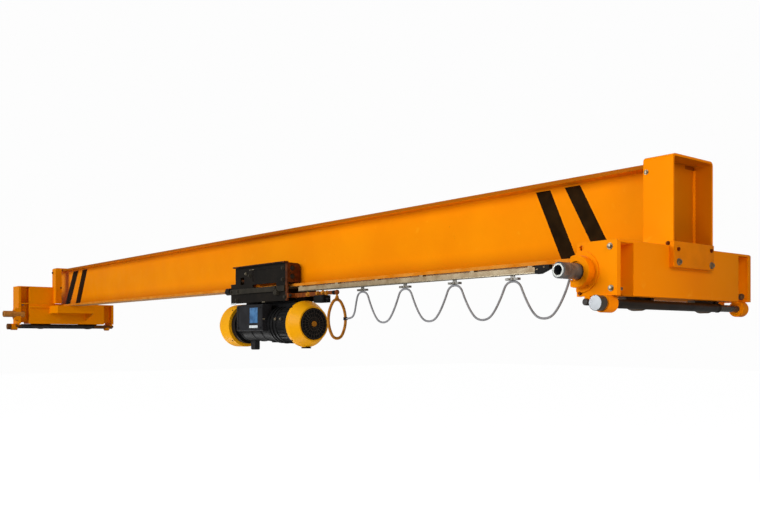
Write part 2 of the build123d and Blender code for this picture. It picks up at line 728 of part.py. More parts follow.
def rail_stop():
    half = RAIL_W / 2
    top = GIRDER_BOTTOM
    low = GIRDER_BOTTOM - RAIL_DROP - RAIL_H
    x0 = RAIL_RIGHT
    x1 = RAIL_RIGHT + STOP_L
    wedge = Polyline(
        [
            (x0, RAIL_Y, low - 4), (x0 + 30, RAIL_Y, low - 4), (x1, RAIL_Y, low + 18),
            (x1, RAIL_Y, top), (x0, RAIL_Y, top),
        ],
        close=True,
    )
    return extrude(make_face(wedge), half, both=True)


def carrier(x):
    low = GIRDER_BOTTOM - RAIL_DROP - RAIL_H
    half = CARRIER_L / 2
    roller = low + RAIL_T + 0.5
    body = block(x - half, x + half, RAIL_Y - 9, RAIL_Y + 9, roller, roller + CARRIER_ROLLER_H)
    stem = CARRIER_STEM_T / 2
    seat = low - CARRIER_DROP
    body += block(x - 14, x + 14, RAIL_Y - stem, RAIL_Y + stem, seat, roller + 2)
    wide = CARRIER_W / 2
    body += block(x - half, x + half, RAIL_Y - wide, RAIL_Y + wide, seat - CARRIER_H, seat)
    return body


# Festoon cable: from the hoop clamp over four carriers to the anchor clip.
# Each point is (x, y, z) of the centre line; radii follow from the runs.
def cable_points():
    seat = GIRDER_BOTTOM - RAIL_DROP - RAIL_H - CARRIER_DROP - CARRIER_H - CABLE_D / 2
    start_x = ARM_TIP + HOOP_CLAMP / 2
    points = [
        (start_x, CLAMP_Y, HOOP_CLAMP_Z),
        (start_x + 56.0, CLAMP_Y, HOOP_CLAMP_Z),
        (start_x + 116.0, -14.0, -6.0),
        (start_x + 168.0, -42.0, 62.0),
    ]
    stops = list(CARRIERS) + [ANCHOR_X + CARRIER_L / 2]
    for here, there in zip(stops, stops[1:]):
        left = here + CARRIER_L / 2
        width = there - CARRIER_L / 2 - left
        points.append((here - CARRIER_L / 2, RAIL_Y, seat))
        points.append((left, RAIL_Y, seat))
        drops = ((0.10, -72.0), (0.245, -150.0), (0.39, -192.0))
        for share, drop in drops:
            points.append((left + share * width, RAIL_Y, seat + drop))
        for share, drop in reversed(drops):
            points.append((left + (1 - share) * width, RAIL_Y, seat + drop))
    points.append((ANCHOR_X, RAIL_Y, seat + 10.0))
    points.append((ANCHOR_X, RAIL_Y, GIRDER_BOTTOM - ANCHOR_L))
    return points


def bend_radii(points):
    radii = []
    for a, b, c in zip(points, points[1:], points[2:]):
        one = Vector(*b) - Vector(*a)
        two = Vector(*c) - Vector(*b)
        turn = math.radians(one.get_angle(two))
        shorter = min(one.length, two.length)
        radii.append(min(0.45 * shorter / math.tan(turn / 2), 400.0))
    return radii


def cable():
    points = cable_points()
    radii = bend_radii(points)
    print("cable bends", [round(r) for r in radii])
    path = FilletPolyline(*points, radius=radii)
    section = Plane(origin=path @ 0, z_dir=path % 0) * Circle(CABLE_D / 2)
    tube = sweep(section, path=path)
    length = path.length
    print("cable length", round(length), "volume ratio", round(
        tube.volume / (length * math.pi * CABLE_D**2 / 4), 4))
    return tube


def hoop_clamp():
    half = HOOP_CLAMP / 2
    x = ARM_TIP
    y = CLAMP_Y
    z = HOOP_CLAMP_Z
    piece = block(x - half, x + half, y - half, y + half, z - half, z + half)
    return piece - hoop()


def anchor_clip():
    x = ANCHOR_X
    piece = block(x - 16, x + 16, RAIL_Y - 16, RAIL_Y + 16, GIRDER_BOTTOM - ANCHOR_L, GIRDER_BOTTOM)
    return chamfer(piece.edges().filter_by(Axis.Z), 3)


os.makedirs("parts", exist_ok=True)

save(girder(), "girder")
save(near_hood(), "near_hood")
save(far_hood(), "far_hood")
save(lip_plate(), "near_lip_plate")
save(shelf(), "near_seat_shelf")
save(at_far(shelf()), "far_seat_shelf")

pieces = {
    "carriage_box": carriage_box(),
    "front_end_plate": front_end_plate(),
    "rear_end_plate": end_plate(1, REAR_COLLAR),
    "buffer_boss": buffer_boss(),
    "buffer_tube": buffer_tube(),
    "lower_rod": lower_rod(),
    "inner_rod": inner_rod(),
    "front_wheel": travel_wheel(-WHEEL_Y),
    "rear_wheel": travel_wheel(WHEEL_Y),
}
for name, shape in pieces.items():
    save(shape, f"near_{name}")
    save(at_far(shape), f"far_{name}")
save(moved_far(upper_box()), "far_upper_box")
save(moved_far(upper_end_plate()), "far_upper_end_plate")

save(cheek(-1), "trolley_front_cheek")
save(cheek(1), "trolley_rear_cheek")
save(front_bar(), "trolley_front_bar")
save(knob(-1), "trolley_front_bumper")
save(knob(1), "trolley_rear_bumper")
for side, x in zip(("left", "right"), RUNNER_X):
    save(runner(x, -1), f"{side}_front_runner")
    save(runner(x, 1), f"{side}_rear_runner")
for side, x in zip(("left", "right"), TIE_X):
    save(tie(x), f"{side}_hanger")
save(hoist_body(), "hoist_body")
save(blank_cap(LEFT_CAP, -1), "hoist_left_cap")
save(cap(RIGHT_CAP, 1), "hoist_right_cap")
save(grille(), "fan_grille")
save(control_box(), "control_box")
save(outlet(), "hoist_outlet")
save(latch(), "cap_latch")
save(towing_arm(), "towing_arm")
save(junction_box(), "junction_box")
save(hoop(), "cable_hoop")
save(hoop_clamp(), "hoop_clamp")

save(rail(), "festoon_rail")
save(rail_stop(), "rail_stop")
for letter, x in zip("abcd", CARRIERS):
    save(carrier(x), f"cable_carrier_{letter}")
save(anchor_clip(), "anchor_clip")
save(cable(), "festoon_cable")
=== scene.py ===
import json
import math

import bmesh
import bpy
from mathutils import Matrix, Vector


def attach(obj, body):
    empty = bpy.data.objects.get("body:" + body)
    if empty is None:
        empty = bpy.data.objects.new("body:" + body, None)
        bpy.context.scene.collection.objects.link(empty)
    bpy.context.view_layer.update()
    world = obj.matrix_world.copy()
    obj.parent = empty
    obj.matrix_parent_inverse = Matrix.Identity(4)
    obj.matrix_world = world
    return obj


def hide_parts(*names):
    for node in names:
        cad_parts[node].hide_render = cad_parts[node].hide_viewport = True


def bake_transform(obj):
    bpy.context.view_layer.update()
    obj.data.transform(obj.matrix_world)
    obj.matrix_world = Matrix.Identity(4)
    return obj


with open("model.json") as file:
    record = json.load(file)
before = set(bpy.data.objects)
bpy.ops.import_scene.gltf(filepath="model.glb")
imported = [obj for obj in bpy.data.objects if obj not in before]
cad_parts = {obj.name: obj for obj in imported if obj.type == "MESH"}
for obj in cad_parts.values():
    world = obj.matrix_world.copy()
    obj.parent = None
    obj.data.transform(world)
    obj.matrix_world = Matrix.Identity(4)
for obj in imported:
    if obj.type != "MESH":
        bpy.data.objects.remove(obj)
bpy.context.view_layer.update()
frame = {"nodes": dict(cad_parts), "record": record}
nodes = frame["nodes"]
body_of_node = {
    node: body for body, names in frame["record"]["behaviour"]["bodies"].items() for node in names
}
slot_of_node = {part["node"]: part["material_slot"] for part in frame["record"]["subparts"]}

MM = 0.001

# The camera stands low on the viewed side, level, and looks along the girder
CAMERA_PLACE = (2.1303, -3.3753, -0.1763)
CAMERA_TURN = math.radians(39.287)
LENS_MM = 41.1
SENSOR_MM = 36.0
SHIFT_UP = 0.1028
FLOOR_LEVEL = -2.5
FLOOR_HALF = 60

# Ways that a face looks: at the viewed side, away from it, along X past the near end
FRONT = (0, -1, 0)
BACK = (0, 1, 0)
NEAR = (1, 0, 0)


# Nodes and colours

def linear(code):
    """Linear RGBA of an sRGB hex colour."""
    parts = [int(code[i:i + 2], 16) / 255 for i in (0, 2, 4)]
    turned = [c / 12.92 if c <= 0.04045 else ((c + 0.055) / 1.055) ** 2.4 for c in parts]
    return (*turned, 1.0)


def add(tree, kind, settings=None, links=None):
    """Adds a node, sets its properties and inputs, and links outputs into its inputs."""
    node = tree.nodes.new(kind)
    for key, value in (settings or {}).items():
        if isinstance(key, str) and hasattr(node, key):
            setattr(node, key, value)
        else:
            node.inputs[key].default_value = value
    for key, output in (links or {}).items():
        tree.links.new(output, node.inputs[key])
    return node


def new_material(name):
    """An empty material, and the tree to build it in."""
    material = bpy.data.materials.new(name)
    material.use_nodes = True
    tree = material.node_tree
    tree.nodes.clear()
    return material, tree


def surface(tree, settings, links=None):
    """Ends a material in one principled surface."""
    shader = add(tree, "ShaderNodeBsdfPrincipled", settings, links)
    add(tree, "ShaderNodeOutputMaterial", links={"Surface": shader.outputs["BSDF"]})


def place(tree):
    """Object coordinates, in metres."""
    return add(tree, "ShaderNodeTexCoord").outputs["Object"]


def parts_of(tree, vector):
    """The X, Y and Z outputs of a vector."""
    return add(tree, "ShaderNodeSeparateXYZ", links={"Vector": vector}).outputs


def grain(tree, where, size_mm, detail=3.0, rough=0.5):
    """Noise whose lumps are about size_mm across."""
    return add(
        tree, "ShaderNodeTexNoise",
        {"Scale": 1 / (size_mm * MM), "Detail": detail, "Roughness": rough},
        {"Vector": where},
    ).outputs["Fac"]


def share_of(tree, low, high, factor):
    """0 to 1 as factor goes from low to high."""
    return add(
        tree, "ShaderNodeMapRange", {"From Min": low, "From Max": high}, {"Value": factor}
    ).outputs["Result"]


def mixed(tree, share, first, second):
    """Colour between first and second; each is a colour or an output."""
    mix = add(tree, "ShaderNodeMix", {"data_type": "RGBA"}, {"Factor": share})
    for socket, colour in ((mix.inputs[6], first), (mix.inputs[7], second)):
        if isinstance(colour, tuple):
            socket.default_value = colour
        else:
            tree.links.new(colour, socket)
    return mix.outputs[2]


def between(tree, low, high, factor, first, second):
    """Colour that goes from first to second as factor goes from low to high."""
    return mixed(tree, share_of(tree, low, high, factor), first, second)


# Most of a noise's values lie between these two
NOISE_LOW = 0.3
NOISE_HIGH = 0.7


def drifting(tree, noise, deep, pale, low=NOISE_LOW, high=NOISE_HIGH):
    """Colour that wanders between two tones."""
    return between(tree, low, high, noise, linear(deep), linear(pale))


def spread(tree, low, high, noise):
    """Value that wanders between low and high."""
    return add(
        tree, "ShaderNodeMapRange",
        {"From Min": NOISE_LOW, "From Max": NOISE_HIGH, "To Min": low, "To Max": high},
        {"Value": noise},
    ).outputs["Result"]


def maths(tree, operation, first, second=None, third=None):
    """One step of arithmetic on numbers or outputs."""
    node = add(tree, "ShaderNodeMath", {"operation": operation})
    for socket, value in zip(node.inputs, (first, second, third)):
        if value is None:
            continue
        if isinstance(value, (int, float)):
            socket.default_value = value
        else:
            tree.links.new(value, socket)
    return node.outputs[0]


def product(tree, *factors):
    """All the factors multiplied, which for masks is where they all hold."""
    result = factors[0]
    for factor in factors[1:]:
        result = maths(tree, "MULTIPLY", result, factor)
    return result


def within(tree, value, low, high):
    """1 where value lies between low and high, else 0."""
    return maths(tree, "COMPARE", value, (low + high) / 2, (high - low) / 2)


def bumped(tree, height, depth_mm, strength=0.5):
    """Normal of a surface that rises and falls by depth_mm."""
    return add(
        tree, "ShaderNodeBump", {"Strength": strength, "Distance": depth_mm * MM},
        {"Height": height},
    ).outputs["Normal"]


def facing(tree, axis):
    """The surface's direction along an axis, from -1 to 1."""
    return parts_of(tree, add(tree, "ShaderNodeNewGeometry").outputs["Normal"])[axis]


# Finishes

PAINT = "f79302"
PAINT_DEEP = "f18b01"
PAINT_RUBBED = "f9a21c"
PAINT_DUST_AND_HIGHLIGHT = "e8b878"
# Dark brown for painted shade on undersides, in the near hood's recess and on the lip plate
PAINT_SHADE_BROWN = "5e2f0a"
PAINT_CHIP = "8a4a14"
PAINT_WEB_FOOT_SHADE = "6e3b02"
EDGE_BROWN = "bf6a0e"
EDGE_BARE = "cf8a38"
TOP_EDGE_SHADE_BROWN = "a85a0a"
UNDERSIDE_BOUNCE_LIGHT = "d29a5e"
STRIPE_BLACK = "140c05"
STRIPE_WORN = "241708"

# Enamel throws back little white light; the low specular keeps its colour deep
ENAMEL = {
    "IOR": 1.5, "Specular IOR Level": 0.04, "Specular Tint": linear("ffb45a"),
}

# Lumps of the enamel's tone, rubbed patches, chips, dust (its patches also break up the painted
# highlight and painted shade), sheen and skin
TONE_MM = 420
RUB_MM = 60
CHIP_MM = 14
DUST_MM = 25
SHEEN_MM = 90
SKIN_MM = 4
DUST_AND_HIGHLIGHT_SHARE = 0.55
UNDERSIDE_SHADE_SHARE = 0.35
SKIN_DEPTH_MM = 0.05


def enamel_base(tree, where):
    """Colour and roughness of the sprayed orange-yellow enamel, with dust and painted highlight
    on upward faces and painted shade on downward faces.
    """
    colour = drifting(tree, grain(tree, where, TONE_MM, 4.0), PAINT_DEEP, PAINT, 0.35, 0.65)
    rubbed = share_of(tree, 0.62, 0.80, grain(tree, where, RUB_MM, 8.0, 0.6))
    colour = mixed(tree, rubbed, colour, linear(PAINT_RUBBED))
    chips = share_of(tree, 0.735, 0.76, grain(tree, where, CHIP_MM, 6.0, 0.6))
    colour = mixed(tree, chips, colour, linear(PAINT_CHIP))
    # Pale dust on upward faces, which also works as a painted highlight along rounded top edges
    up = facing(tree, "Z")
    patchy = spread(tree, 0.3, 1.0, grain(tree, where, DUST_MM, 6.0))
    dust_and_highlight = product(tree, share_of(tree, 0.75, 1.0, up), patchy, DUST_AND_HIGHLIGHT_SHARE)
    colour = mixed(tree, dust_and_highlight, colour, linear(PAINT_DUST_AND_HIGHLIGHT))
    # Painted shade on downward faces, mixed towards dark brown
    underside_shade = product(tree, share_of(tree, -0.6, -1.0, up), patchy, UNDERSIDE_SHADE_SHARE)
    colour = mixed(tree, underside_shade, colour, linear(PAINT_SHADE_BROWN))
    rough = spread(tree, 0.34, 0.48, grain(tree, where, SHEEN_MM, 5.0))
    return colour, rough


def orange_peel(tree, where):
    """Sprayed enamel dries with a skin of shallow dimples."""
    return bumped(tree, grain(tree, where, SKIN_MM, 2.0), SKIN_DEPTH_MM, 0.4)


def enamel_material(name, colour_of=None):
    """Gloss enamel sprayed on plate: strong colour and soft wide highlights."""
    material, tree = new_material(name)
    where = place(tree)
    colour, rough = enamel_base(tree, where)
    if colour_of:
        colour = colour_of(tree, where, colour)
    surface(tree, ENAMEL, {
        "Base Color": colour, "Roughness": rough, "Normal": orange_peel(tree, where),
    })
    return material


# Inside of the near hood past its diaphragm, in metres, darkened by painted shade
RECESS_X = 0.0195
RECESS_HALF_W = 0.1453
RECESS_Z = (0.2195, 0.5925)
RECESS_SHADE = 0.38


def painted_recess_shade(tree, where, colour):
    """Painted shade inside the near hood's recess: the coat there is mixed towards dark brown."""
    x, y, z = parts_of(tree, where)
    inside = product(
        tree, maths(tree, "GREATER_THAN", x, RECESS_X),
        maths(tree, "LESS_THAN", maths(tree, "ABSOLUTE", y), RECESS_HALF_W),
        within(tree, z, *RECESS_Z), RECESS_SHADE,
    )
    return mixed(tree, inside, colour, linear(PAINT_SHADE_BROWN))


def lip_painted_shade(tree, where, colour):
    """Painted shade that makes the lip plate a little darker than the carriage, in soft patches.
    """
    lip_shade = spread(tree, 0.14, 0.26, grain(tree, where, RUB_MM, 4.0))
    return mixed(tree, lip_shade, colour, linear(PAINT_SHADE_BROWN))


# Painted stripes on the web: (middle of the band, half width, lean) in metres
STRIPES = (
    (-0.441, 0.046, 0.463),
    (-0.208, 0.046, 0.555),
    (-7.545, 0.075, -0.725),
    (-7.206, 0.068, -0.58),
)
STRIPE_RAGGED = 0.004

# Heights and half widths on the girder, in metres
WEB_FACE = 0.006
WEB_LOW = 0.211
WEB_HIGH = 0.5735
WEB_FOOT_SHADE_TOP = 0.305
FLANGE_EDGE = 0.0735
LOWER_FLANGE_TOP = 0.212
UPPER_FLANGE_LOW = 0.5745

# Shares of the rubbed lower edges, and of the painted shade on the top edge and at the web's foot
EDGE_RUB = 0.8
TOP_EDGE_SHADE = 0.95
WEB_FOOT_SHADE_SHARE = 0.55


def girder_coat(tree, where, colour):
    """Black warning stripes masked by tape on the web, with painted shade at the web's foot, on
    the top flange's edge and in the near hood's recess, the lower flange's edges rubbed brown,
    and painted bounce light on the lower flange's underside."""
    x, y, z = parts_of(tree, where)
    across = maths(tree, "ABSOLUTE", y)
    at_edge = maths(tree, "GREATER_THAN", across, FLANGE_EDGE)
    low = maths(tree, "LESS_THAN", z, LOWER_FLANGE_TOP)
    rubbed = drifting(
        tree, grain(tree, where, SHEEN_MM, 5.0), EDGE_BROWN, EDGE_BARE, 0.35, 0.65
    )
    colour = mixed(tree, product(tree, low, at_edge, EDGE_RUB), colour, rubbed)
    # Painted shade on the top flange's outer edge, mixed towards brown
    high = maths(tree, "GREATER_THAN", z, UPPER_FLANGE_LOW)
    top_edge_painted_shade = product(tree, high, at_edge, TOP_EDGE_SHADE)
    colour = mixed(tree, top_edge_painted_shade, colour, linear(TOP_EDGE_SHADE_BROWN))
    # Painted bounce light: the lower flange's underside is paler, as if lit from below
    under = product(tree, low, share_of(tree, -0.8, -0.95, facing(tree, "Z")))
    colour = mixed(tree, under, colour, linear(UNDERSIDE_BOUNCE_LIGHT))
    on_web = maths(tree, "LESS_THAN", across, WEB_FACE)
    # Painted shade: the web darkens towards its foot above the lower flange
    sunk = maths(tree, "POWER", share_of(tree, WEB_FOOT_SHADE_TOP, WEB_LOW, z), 1.5)
    colour = mixed(tree, product(tree, sunk, on_web, WEB_FOOT_SHADE_SHARE), colour, linear(PAINT_WEB_FOOT_SHADE))
    ragged = product(tree, grain(tree, where, 9, 3.0), STRIPE_RAGGED)
    bands = None
    for middle, half, lean in STRIPES:
        slant = maths(tree, "MULTIPLY_ADD", z, lean, x)
        band = maths(tree, "COMPARE", maths(tree, "ADD", slant, ragged), middle, half)
        bands = band if bands is None else maths(tree, "ADD", bands, band)
    bands = product(tree, bands, on_web, within(tree, z, WEB_LOW, WEB_HIGH))
    black = drifting(
        tree, grain(tree, where, RUB_MM, 4.0), STRIPE_BLACK, STRIPE_WORN, 0.35, 0.7
    )
    return painted_recess_shade(tree, where, mixed(tree, bands, colour, black))


# Where the cheeks carry a painted brown highlight: past the wheel guard's X, above the top lip's
# Z, in metres
GUARD_X = -2.868
LIP_Z = 0.3585


def cheek_enamel():
    """Satin black on the trolley's frame, with a painted red-brown highlight at the guard and top
    lip.
    """
    material, tree = new_material("cheek_enamel")
    where = place(tree)
    x, _, z = parts_of(tree, where)
    black = drifting(tree, grain(tree, where, 80, 5.0), "0f0c08", "1c1610")
    primer = drifting(tree, grain(tree, where, 40, 6.0), "3d1b09", "623417")
    # The zone of the painted red-brown highlight
    bare = maths(
        tree, "MAXIMUM",
        maths(tree, "GREATER_THAN", x, GUARD_X), maths(tree, "GREATER_THAN", z, LIP_Z),
    )
    surface(tree, {"IOR": 1.5, "Specular IOR Level": 0.12}, {
        "Base Color": mixed(tree, bare, black, primer),
        "Roughness": spread(tree, 0.4, 0.55, grain(tree, where, 30, 4.0)),
        "Normal": bumped(tree, grain(tree, where, 3, 2.0), SKIN_DEPTH_MM),
    })
    return material


def plain_paint(name, deep, pale, rough_low, rough_high, lump=60, shine=0.3):
    """Paint or plastic whose colour drifts between two tones."""
    material, tree = new_material(name)
    where = place(tree)
    surface(tree, {"IOR": 1.5, "Specular IOR Level": shine}, {
        "Base Color": drifting(tree, grain(tree, where, lump, 5.0), deep, pale),
        "Roughness": spread(tree, rough_low, rough_high, grain(tree, where, lump / 3, 4.0)),
        "Normal": bumped(tree, grain(tree, where, 3, 2.0), SKIN_DEPTH_MM),
    })
    return material


# A wave texture turns through this many radians in one unit
WAVE_RADIANS = 20


def steel(name, deep, pale, rough_low, rough_high, lump, bare=1.0, ring_mm=None, end=None):
    """Metal, bright where it is bare and dull under its oxide: bare gives the share.
    Turned bars have fine rings round them, ring_mm to each radian of their wave along Y,
    and faced ends."""
    material, tree = new_material(name)
    where = place(tree)
    colour = drifting(tree, grain(tree, where, lump, 5.0), deep, pale, 0.35, 0.65)
    if end:
        faced = share_of(tree, 0.85, 0.97, maths(tree, "ABSOLUTE", facing(tree, "Y")))
        colour = mixed(tree, faced, colour, linear(end))
    height = grain(tree, where, 5, 3.0)
    if ring_mm:
        height = add(
            tree, "ShaderNodeTexWave",
            {
                "bands_direction": "Y", "Scale": 1 / (ring_mm * MM * WAVE_RADIANS),
                "Distortion": 0.6,
            },
            {"Vector": where},
        ).outputs["Fac"]
    surface(tree, {"Metallic": bare}, {
        "Base Color": colour,
        "Roughness": spread(tree, rough_low, rough_high, grain(tree, where, lump / 2, 5.0)),
        "Normal": bumped(tree, height, 0.04),
    })
    return material


finishes = {
    # Carriages and beam: enamel sprayed on plate, with painted shade inside the near hood's
    # recess and on the lip plate
    "orange_enamel": enamel_material("orange_enamel"),
    "girder_enamel": enamel_material("girder_enamel", girder_coat),
    "hood_enamel": enamel_material("hood_enamel", painted_recess_shade),
    "lip_enamel": enamel_material("lip_enamel", lip_painted_shade),
    # Arm: dark brushed primer. Hoop and fan hub: thin brushed paint gone brown
    "arm_primer": plain_paint("arm_primer", "5c2a0c", "8a4716", 0.42, 0.55, 25, 0.12),
    "worn_brown_paint": plain_paint("worn_brown_paint", "94560c", "c28022", 0.42, 0.55, 25, 0.12),
    # Hoist covers: moulded, self-coloured and smooth
    "cap_enamel": plain_paint("cap_enamel", "f2a403", "f9b00c", 0.32, 0.44, 200, 0.12),
    # Trolley and hoist: satin blacks, each a little different in tone and sheen so that
    # the pieces stand apart; moulded plastic and rubber are the dullest
    "cheek_enamel": cheek_enamel(),
    "black_enamel": plain_paint("black_enamel", "0d0905", "1a120b", 0.38, 0.52, 80, 0.10),
    "charcoal_enamel": plain_paint("charcoal_enamel", "1f1f21", "2b2b2e", 0.42, 0.55, 90, 0.12),
    "hoist_enamel": plain_paint("hoist_enamel", "0f0f10", "1a1a1b", 0.34, 0.46, 60, 0.14),
    "bar_enamel": plain_paint("bar_enamel", "25221c", "36322a", 0.42, 0.55, 60, 0.12),
    "moulded_black": plain_paint("moulded_black", "0b0b0c", "151515", 0.5, 0.62, 50, 0.12),
    "rubber": plain_paint("rubber", "0c0b0b", "151413", 0.7, 0.85, 30, 0.25),
    "spoke_wire": plain_paint("spoke_wire", "2b2520", "453b32", 0.35, 0.5, 20, 0.3),
    # Grey cable sheath, and the bare blue and white plates of the control box
    "cable_sheath": plain_paint("cable_sheath", "7d7e82", "939498", 0.5, 0.62, 30),
    "blue_plate": plain_paint("blue_plate", "24507c", "4f83b4", 0.3, 0.4, 40, 0.4),
    "white_plate": plain_paint("white_plate", "ccd3d6", "e2e8ea", 0.35, 0.45, 30, 0.4),
    # The far buffer tube is orange-brown and the far rods dark brown
    "far_tube_brown": plain_paint("far_tube_brown", "a8641c", "c98a40", 0.35, 0.5, 30, 0.15),
    "far_rod_brown": plain_paint("far_rod_brown", "54300f", "7a4a1a", 0.4, 0.55, 30, 0.12),
    # Turned bars: dark oiled sides and bright faced ends
    "turned_steel": steel(
        "turned_steel", "474d54", "6c7278", 0.20, 0.30, 40, 0.2, ring_mm=1.2, end="a2a6a2"
    ),
    "rod_steel": steel("rod_steel", "3f3f3d", "55544f", 0.20, 0.32, 120, 0.35, end="90959a"),
    "dark_bar": steel("dark_bar", "1c1815", "2c2621", 0.40, 0.55, 60, 0.4),
    # Fasteners that glint, or have rusted; zinc coated section, tinted yellow-brown on the rail
    # as a painted reflection of the orange flange and grey on the carriers; dark cast wheels
    "bolt_steel": steel("bolt_steel", "6a6250", "968c78", 0.30, 0.48, 12, 0.7),
    "rusty_bolt": steel("rusty_bolt", "5a2a12", "86431c", 0.55, 0.75, 6),
    "zinc_painted_orange_reflection": steel("zinc_painted_orange_reflection", "917a58", "b5a485", 0.36, 0.50, 90, 0.3),
    "carrier_zinc": steel("carrier_zinc", "7c7a76", "9c9a94", 0.32, 0.46, 30),
    "cast_iron": steel("cast_iron", "4a3d31", "6b5a48", 0.45, 0.65, 40, 0.5),
}

SLOT_FINISH = {
    "yellow_paint": "orange_enamel",
    "cap_yellow": "cap_enamel",
    "black_paint": "black_enamel",
    "charcoal_paint": "charcoal_enamel",
    "polished_steel": "turned_steel",
    "dark_steel": "dark_bar",
    "cast_wheel": "cast_iron",
    "galvanised": "zinc_painted_orange_reflection",
    "dark_plastic": "moulded_black",
    "black_rubber": "rubber",
    "grey_cable": "cable_sheath",
}

NODE_FINISH = {
    "girder": "girder_enamel",
    "near_hood": "hood_enamel",
    "near_lip_plate": "lip_enamel",
    "towing_arm": "arm_primer",
    "cable_hoop": "worn_brown_paint",
    "hoist_body": "hoist_enamel",
    "trolley_front_bar": "bar_enamel",
    "trolley_front_cheek": "cheek_enamel",
    "trolley_rear_cheek": "cheek_enamel",
    "near_lower_rod": "rod_steel",
    "far_lower_rod": "far_rod_brown",
    "far_inner_rod": "far_rod_brown",
    "far_buffer_tube": "far_tube_brown",
    **{f"cable_carrier_{letter}": "carrier_zinc" for letter in "abcd"},
}


def finish_of(node):
    """The node's own finish, or else its slot's."""
    return finishes[NODE_FINISH.get(node, SLOT_FINISH[slot_of_node[node]])]


for node in slot_of_node:
    mesh = nodes[node].data
    mesh.materials.clear()
    mesh.materials.append(finish_of(node))


# Making pieces

MERGE = 0.01 * MM


def settle(bm, name, material, body, crease_deg=40):
    """Makes a finished bmesh a piece that rides on a body."""
    mesh = bpy.data.meshes.new(name)
    bm.to_mesh(mesh)
    bm.free()
    mesh.materials.append(material)
    mesh.shade_smooth()
    mesh.set_sharp_from_angle(angle=math.radians(crease_deg))
    piece = bpy.data.objects.new(name, mesh)
    bpy.context.scene.collection.objects.link(piece)
    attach(piece, body)
    return piece


def settle_new(bm, name, finish, body, crease_deg=40):
    """As settle, for a piece modelled here: seams merged and faces turned out first."""
    bmesh.ops.remove_doubles(bm, verts=bm.verts, dist=MERGE)
    bmesh.ops.recalc_face_normals(bm, faces=bm.faces)
    return settle(bm, name, finishes[finish], body, crease_deg)


def edges_of(shape):
    """The edges of a shape just made by an operator."""
    return {e for v in shape["verts"] for e in v.link_edges}


def sharper_than(edges, angle_deg):
    """The edges at which two faces meet at more than an angle."""
    limit = math.radians(angle_deg)
    return [e for e in edges if len(e.link_faces) == 2 and e.calc_face_angle() > limit]


def rounded(bm, edges, width_mm, segments=2):
    """Rounds edges off."""
    bmesh.ops.bevel(
        bm, geom=list(edges), offset=width_mm * MM, affect="EDGES", segments=segments,
        profile=0.5, material=-1,
    )


def end_face(shape, out):
    """The face of a shape that lies furthest out."""
    faces = {f for v in shape["verts"] for f in v.link_faces}
    return max(faces, key=lambda f: f.calc_center_median().dot(Vector(out)))


def dished(bm, face, rim_mm, depth_mm, out):
    """Sinks a face within a rim."""
    bmesh.ops.inset_region(bm, faces=[face], thickness=rim_mm * MM)
    bmesh.ops.translate(bm, verts=face.verts, vec=Vector(out) * -depth_mm * MM)


def seated(spot_mm, out):
    """Matrix that stands a shape made along +Z on a spot, pointing out."""
    turn = Vector((0, 0, 1)).rotation_difference(Vector(out)).to_matrix().to_4x4()
    return Matrix.Translation(Vector(spot_mm) * MM) @ turn


def bar(bm, foot_mm, out, length_mm, radius_mm, tip_mm=None, sides=24):
    """A bar, or a cone with its own tip radius, that stands on a spot and points out."""
    middle = Vector(foot_mm) + Vector(out) * (length_mm / 2)
    return bmesh.ops.create_cone(
        bm, cap_ends=True, segments=sides, radius1=radius_mm * MM,
        radius2=(radius_mm if tip_mm is None else tip_mm) * MM, depth=length_mm * MM,
        matrix=seated(middle, out),
    )


def slab(bm, low_mm, high_mm, edge_mm=1.0):
    """A flat bar or plate between two corners, with rounded edges."""
    low = Vector(low_mm) * MM
    high = Vector(high_mm) * MM
    matrix = Matrix.Translation((low + high) / 2) @ Matrix.Diagonal((*(high - low), 1))
    rounded(bm, edges_of(bmesh.ops.create_cube(bm, size=1, matrix=matrix)), edge_mm)


def plate_piece(name, finish, body, low_mm, high_mm, edge_mm=1.0):
    """One flat plate or bar as a piece of its own."""
    bm = bmesh.new()
    slab(bm, low_mm, high_mm, edge_mm)
    settle_new(bm, name, finish, body)


def turned(bm, profile_mm, centre_mm, steps=48):
    """A ring turned round a line along X, from (x, radius) pairs that close on themselves."""
    y, z = centre_mm
    verts = [bm.verts.new((x * MM, y * MM, (z + r) * MM)) for x, r in profile_mm]
    edges = [bm.edges.new((a, b)) for a, b in zip(verts, verts[1:] + verts[:1])]
    bmesh.ops.spin(
        bm, geom=verts + edges, cent=(0, y * MM, z * MM), axis=NEAR,
        angle=math.tau, steps=steps, use_merge=True,
    )


def band(bm, x, width, inner, outer, cut, centre_mm):
    """A turned band with its two outer corners cut: cut is (along X, along the radius)."""
    along, inward = cut
    turned(bm, [
        (x, inner), (x, outer - inward), (x + along, outer), (x + width - along, outer),
        (x + width, outer - inward), (x + width, inner),
    ], centre_mm)


# Softened plates: the nodes' own shapes with the sharp edges rounded, as sawn and
# sprayed steel has them, so that edges catch the light. Widths are in millimetres.
EDGE_WIDTHS = {
    "near_hood": 2.0, "far_hood": 2.0, "near_lip_plate": 2.0,
    "near_seat_shelf": 2.0, "far_seat_shelf": 2.0,
    "near_carriage_box": 1.8, "far_carriage_box": 1.8,
    "near_front_end_plate": 1.8, "near_rear_end_plate": 1.8,
    "far_front_end_plate": 1.8, "far_rear_end_plate": 1.8,
    "near_buffer_boss": 1.5, "far_buffer_boss": 1.5,
    "far_upper_box": 1.8, "far_upper_end_plate": 1.8,
    "girder": 2.0,
    "trolley_front_cheek": 1.8, "trolley_rear_cheek": 1.8, "trolley_front_bar": 2.0,
    "hoist_left_cap": 3.0, "hoist_right_cap": 3.0,
    "control_box": 2.5, "hoist_outlet": 2.0, "junction_box": 2.0,
    "rail_stop": 2.0, "towing_arm": 1.5,
}
SHARP_DEG = 26
FLAT_DEG = 0.5


